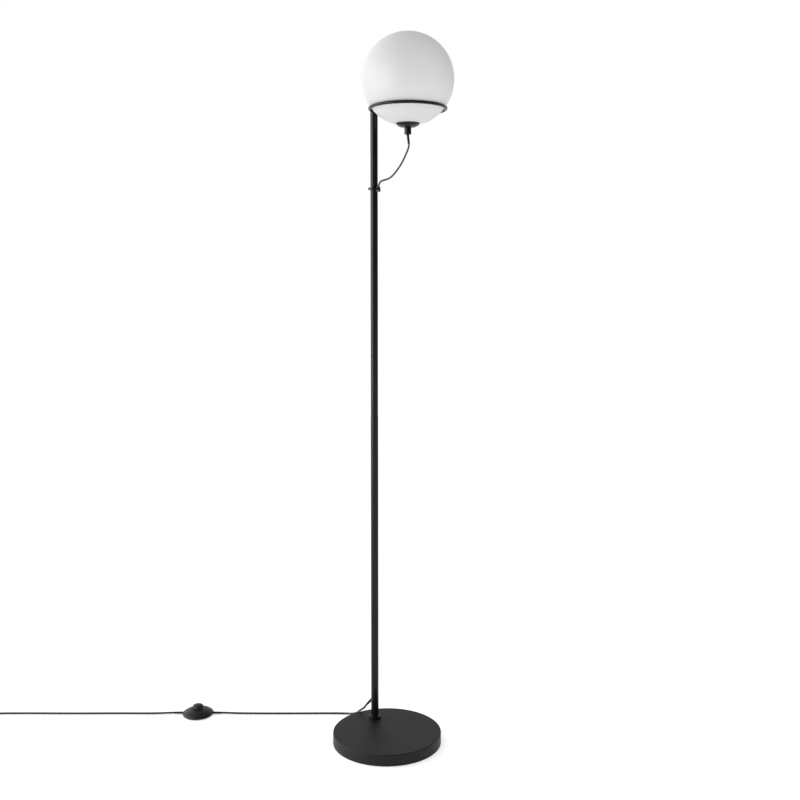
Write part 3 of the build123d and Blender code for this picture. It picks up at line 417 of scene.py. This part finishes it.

# The button's rubber return dome, as a copy with a mesh of its own, on the stand.
dome = bpy.data.objects.new("rubber_dome", nodes["return_dome"].data.copy())
scene.collection.objects.link(dome)
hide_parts("return_dome")
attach(dome, "stand")
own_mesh(dome)

# ---------------------------------------------------------------- floor
floor_half_width = 30.0
floor_level = -0.0002
floor_data = bpy.data.meshes.new("floor")
floor_mesh = bmesh.new()
bmesh.ops.create_grid(floor_mesh, x_segments=1, y_segments=1, size=floor_half_width)
floor_mesh.to_mesh(floor_data)
floor_mesh.free()
floor = bpy.data.objects.new("floor", floor_data)
floor.location = (0.0, 0.0, floor_level)
scene.collection.objects.link(floor)

# White where the camera, gloss or glass sees it, which keeps the shadow; a little darker as a
# source of light on the object.
floor_material = bpy.data.materials.new("white_floor")
floor_material.use_nodes = True
tree = floor_material.node_tree
tree.nodes.clear()
output = tree.nodes.new("ShaderNodeOutputMaterial")
seen, unseen = tree.nodes.new("ShaderNodeBsdfDiffuse"), tree.nodes.new("ShaderNodeBsdfDiffuse")
seen.inputs["Color"].default_value = (1.0, 1.0, 1.0, 1.0)
unseen.inputs["Color"].default_value = (0.90, 0.90, 0.90, 1.0)
glow = tree.nodes.new("ShaderNodeEmission")
glow.inputs["Strength"].default_value = 0.45
both = tree.nodes.new("ShaderNodeAddShader")
choose = tree.nodes.new("ShaderNodeMixShader")
path = tree.nodes.new("ShaderNodeLightPath")
mirrored = math_node(
    tree, "MAXIMUM", path.outputs["Is Glossy Ray"], path.outputs["Is Transmission Ray"]
)
in_view = math_node(tree, "MAXIMUM", path.outputs["Is Camera Ray"], mirrored)
tree.links.new(seen.outputs["BSDF"], both.inputs[0])
tree.links.new(glow.outputs["Emission"], both.inputs[1])
tree.links.new(in_view, choose.inputs["Fac"])
tree.links.new(unseen.outputs["BSDF"], choose.inputs[1])
tree.links.new(both.outputs["Shader"], choose.inputs[2])
tree.links.new(choose.outputs["Shader"], output.inputs["Surface"])
floor.data.materials.append(floor_material)

# ---------------------------------------------------------------- world
# The studio round the lamp: a plain level, a little brighter to the left. Gloss sees the white
# background behind the lamp, and a dimmer room in front of it, where the camera stands.
plain_level, left_gain, right_loss, lowest_level = 0.79, 0.25, -0.16, 0.05
world = bpy.data.worlds.new("studio")
scene.world = world
world.use_nodes = True
tree = world.node_tree
tree.nodes.clear()
direction = tree.nodes.new("ShaderNodeTexCoord")
axes = tree.nodes.new("ShaderNodeSeparateXYZ")
tree.links.new(direction.outputs["Generated"], axes.inputs["Vector"])


def toward(axis, sign):
    """How far a ray points along this axis in this sense, or 0 where it points the other way."""
    along = axes.outputs[axis]
    if sign < 0:
        along = math_node(tree, "MULTIPLY", along, -1.0)
    return math_node(tree, "MAXIMUM", along, 0.0)


to_left, to_right = toward("X", -1), toward("X", 1)
to_front, to_back = toward("Y", -1), toward("Y", 1)
to_top = toward("Z", 1)
path = tree.nodes.new("ShaderNodeLightPath")
gloss = path.outputs["Is Glossy Ray"]
level = math_node(tree, "MULTIPLY_ADD", to_left, left_gain, plain_level)
level = math_node(tree, "MULTIPLY_ADD", to_right, right_loss, level)
for side, change in (
    (math_node(tree, "POWER", to_left, 3.0), 2.0),
    (to_front, -0.62),
    (to_right, -0.40),
    (to_top, -0.30),
    (math_node(tree, "MULTIPLY", to_left, to_back), 3.0),
):
    glossy_side = math_node(tree, "MULTIPLY", gloss, side)
    level = math_node(tree, "MULTIPLY_ADD", glossy_side, change, level)
level = math_node(tree, "MAXIMUM", level, lowest_level)
studio = tree.nodes.new("ShaderNodeBackground")
tree.links.new(level, studio.inputs["Strength"])
white = tree.nodes.new("ShaderNodeBackground")
white.inputs["Color"].default_value = (1.0, 1.0, 1.0, 1.0)
white.inputs["Strength"].default_value = 1.0
# the white behind the lamp fades for gloss towards the ceiling
below_ceiling = math_node(
    tree, "MAXIMUM", math_node(tree, "MULTIPLY_ADD", to_top, -1.1, 1.0), 0.0
)
glossy_back = math_node(
    tree, "MULTIPLY", gloss, math_node(tree, "MULTIPLY", to_back, below_ceiling)
)
seen_white = math_node(
    tree, "MAXIMUM", path.outputs["Is Camera Ray"], path.outputs["Is Transmission Ray"]
)
seen_white = math_node(tree, "MAXIMUM", seen_white, glossy_back)
choose = tree.nodes.new("ShaderNodeMixShader")
output = tree.nodes.new("ShaderNodeOutputWorld")
tree.links.new(seen_white, choose.inputs["Fac"])
tree.links.new(studio.outputs["Background"], choose.inputs[1])
tree.links.new(white.outputs["Background"], choose.inputs[2])
tree.links.new(choose.outputs["Shader"], output.inputs["Surface"])


# ---------------------------------------------------------------- lamps
def soft_box(name, place, aim, size, power):
    """A rectangular area lamp: its place, what it points at, width and height, and watts."""
    data = bpy.data.lights.new(name, "AREA")
    data.shape = "RECTANGLE"
    data.size, data.size_y = size
    data.energy = power
    lamp = bpy.data.objects.new(name, data)
    lamp.location = place
    lamp.rotation_euler = (Vector(aim) - Vector(place)).to_track_quat("-Z", "Y").to_euler()
    scene.collection.objects.link(lamp)
    return lamp


soft_box("key", place=(-3.1, 0.2, 1.5), aim=(0.0, 0.0, 1.1), size=(0.8, 2.6), power=36.0)
fill = soft_box(
    "fill", place=(0.8, -1.9, 0.35), aim=(0.0, 0.0, 1.4), size=(1.4, 0.8), power=13.0
)
fill.visible_glossy = False
# a tall strip box in front on the left, seen only as the bright line down the pole
strip = soft_box(
    "strip", place=(-2.6, -1.6, 1.2), aim=(0.0, 0.0, 1.2), size=(0.6, 2.4), power=60.0
)
strip.visible_diffuse = False

scene.view_settings.view_transform = "Standard"
